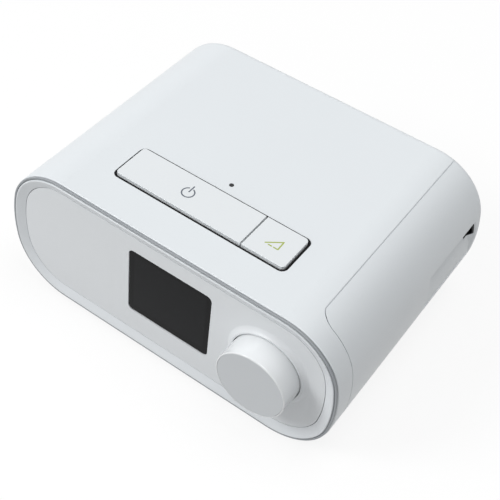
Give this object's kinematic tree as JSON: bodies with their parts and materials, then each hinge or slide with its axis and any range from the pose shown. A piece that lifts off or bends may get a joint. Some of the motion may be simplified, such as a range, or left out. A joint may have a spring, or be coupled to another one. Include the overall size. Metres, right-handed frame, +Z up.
{
  "type": "positive airway pressure machine",
  "caption": "Bedside airway pressure machine: pill-shaped white housing, dished front with screen and push dial, top buttons, lift-up side door, rear air outlet.",
  "frame": {"origin": "centre of the object's bounding box at its base, on the surface that it stands on", "axes": "+X to the right seen from the front, front face towards -Y, +Z up"},
  "size_m": [0.193, 0.157, 0.0846],
  "materials": {
    "housing_white": "satin moulded plastic, cool white",
    "bezel_white": "satin moulded plastic",
    "panel_grey_white": "satin moulded plastic",
    "trim_grey": "matt moulded plastic",
    "screen_black": "polished black window",
    "dial_white": "gloss moulded plastic",
    "dial_face": "satin moulded plastic",
    "button_white": "satin moulded plastic with printed symbols",
    "lens_black": "polished",
    "inner_grey": "matt moulded plastic",
    "inner_black": "matt moulded plastic",
    "filter_blue": "open foam",
    "filter_white": "fine fibre",
    "foam_grey": "acoustic foam",
    "board_green": "solder mask",
    "component_black": "moulded",
    "card_blue": "moulded",
    "rubber_grey": "soft",
    "gasket_black": "soft black",
    "silicone": "soft",
    "steel": "bright",
    "aluminium": "extruded",
    "copper": "wound"
  },
  "bodies": {
    "housing": {"top_cover": "housing_white", "bottom_case": "housing_white", "rear_panel": "housing_white", "door_hinge_pins": "steel", "side_bay": "inner_grey", "filter_frame": "inner_grey", "pollen_filter": "filter_blue", "fine_filter": "filter_white", "card_socket": "steel", "sd_card": "card_blue", "front_trim_ring": "trim_grey", "front_bezel": "bezel_white", "front_panel": "panel_grey_white", "screen_window": "screen_black", "lcd_module": "steel", "ui_board": "board_green", "encoder_body": "inner_black", "button_gasket": "gasket_black", "button_board": "board_green", "button_membrane": "silicone", "switch_domes": "steel", "light_sensor_lens": "lens_black", "blower_lower_housing": "inner_black", "blower_upper_housing": "inner_black", "blower_mounts": "rubber_grey", "motor_stator": "copper", "motor_bearings": "steel", "outlet_port": "inner_grey", "outlet_seal": "silicone", "flow_sensor": "component_black", "inlet_box": "inner_grey", "inlet_foam": "foam_grey", "main_board": "board_green", "heat_sink": "aluminium", "board_capacitors": "component_black", "board_components": "component_black", "board_screws": "steel", "case_screws": "steel", "power_inlet": "inner_black", "power_pin": "steel", "link_connector": "inner_black", "connector_door_pins": "steel", "display_ribbon": "silicone", "ribbon_plugs": "component_black", "feet": "rubber_grey"},
    "dial_plunger": {"encoder_plunger": "steel"},
    "dial": {"control_dial": "dial_white", "dial_cap": "dial_face", "encoder_shaft": "steel"},
    "on_off": {"on_off_button": "button_white"},
    "ramp": {"ramp_button": "button_white"},
    "side_door": {"side_door": "housing_white", "intake_liner": "inner_black"},
    "rotor": {"impeller": "inner_grey", "motor_shaft": "steel", "motor_rotor": "component_black"},
    "connector_flap": {"connector_door": "housing_white"}
  },
  "joints": [
    {"name": "dial_press", "type": "slide", "parent": "housing", "child": "dial_plunger", "axis": [0, 1, 0], "range_m": [0, 0.0008], "stiffness_N_per_m": 2500, "springref_m": -0.0004},
    {"name": "dial_turn", "type": "hinge", "parent": "dial_plunger", "child": "dial", "pos_m": [0.0588, 0, 0.0456], "axis": [0, 1, 0], "continuous": true},
    {"name": "on_off_press", "type": "slide", "parent": "housing", "child": "on_off", "axis": [0, 0, -1], "range_m": [0, 0.0008], "stiffness_N_per_m": 1500, "springref_m": -0.0005},
    {"name": "ramp_press", "type": "slide", "parent": "housing", "child": "ramp", "axis": [0, 0, -1], "range_m": [0, 0.0008], "stiffness_N_per_m": 1500, "springref_m": -0.0005},
    {"name": "side_door_lift", "type": "hinge", "parent": "housing", "child": "side_door", "pos_m": [0.069, 0, 0.0771], "axis": [0, -1, 0], "range_deg": [0, 70]},
    {"name": "rotor_spin", "type": "hinge", "parent": "housing", "child": "rotor", "pos_m": [-0.048, 0.004, 0.04], "axis": [0, 0, 1], "continuous": true},
    {"name": "connector_door_swing", "type": "hinge", "parent": "housing", "child": "connector_flap", "pos_m": [0.014, 0.0769, 0.0134], "axis": [-1, 0, 0], "range_deg": [0, 90]}
  ]
}
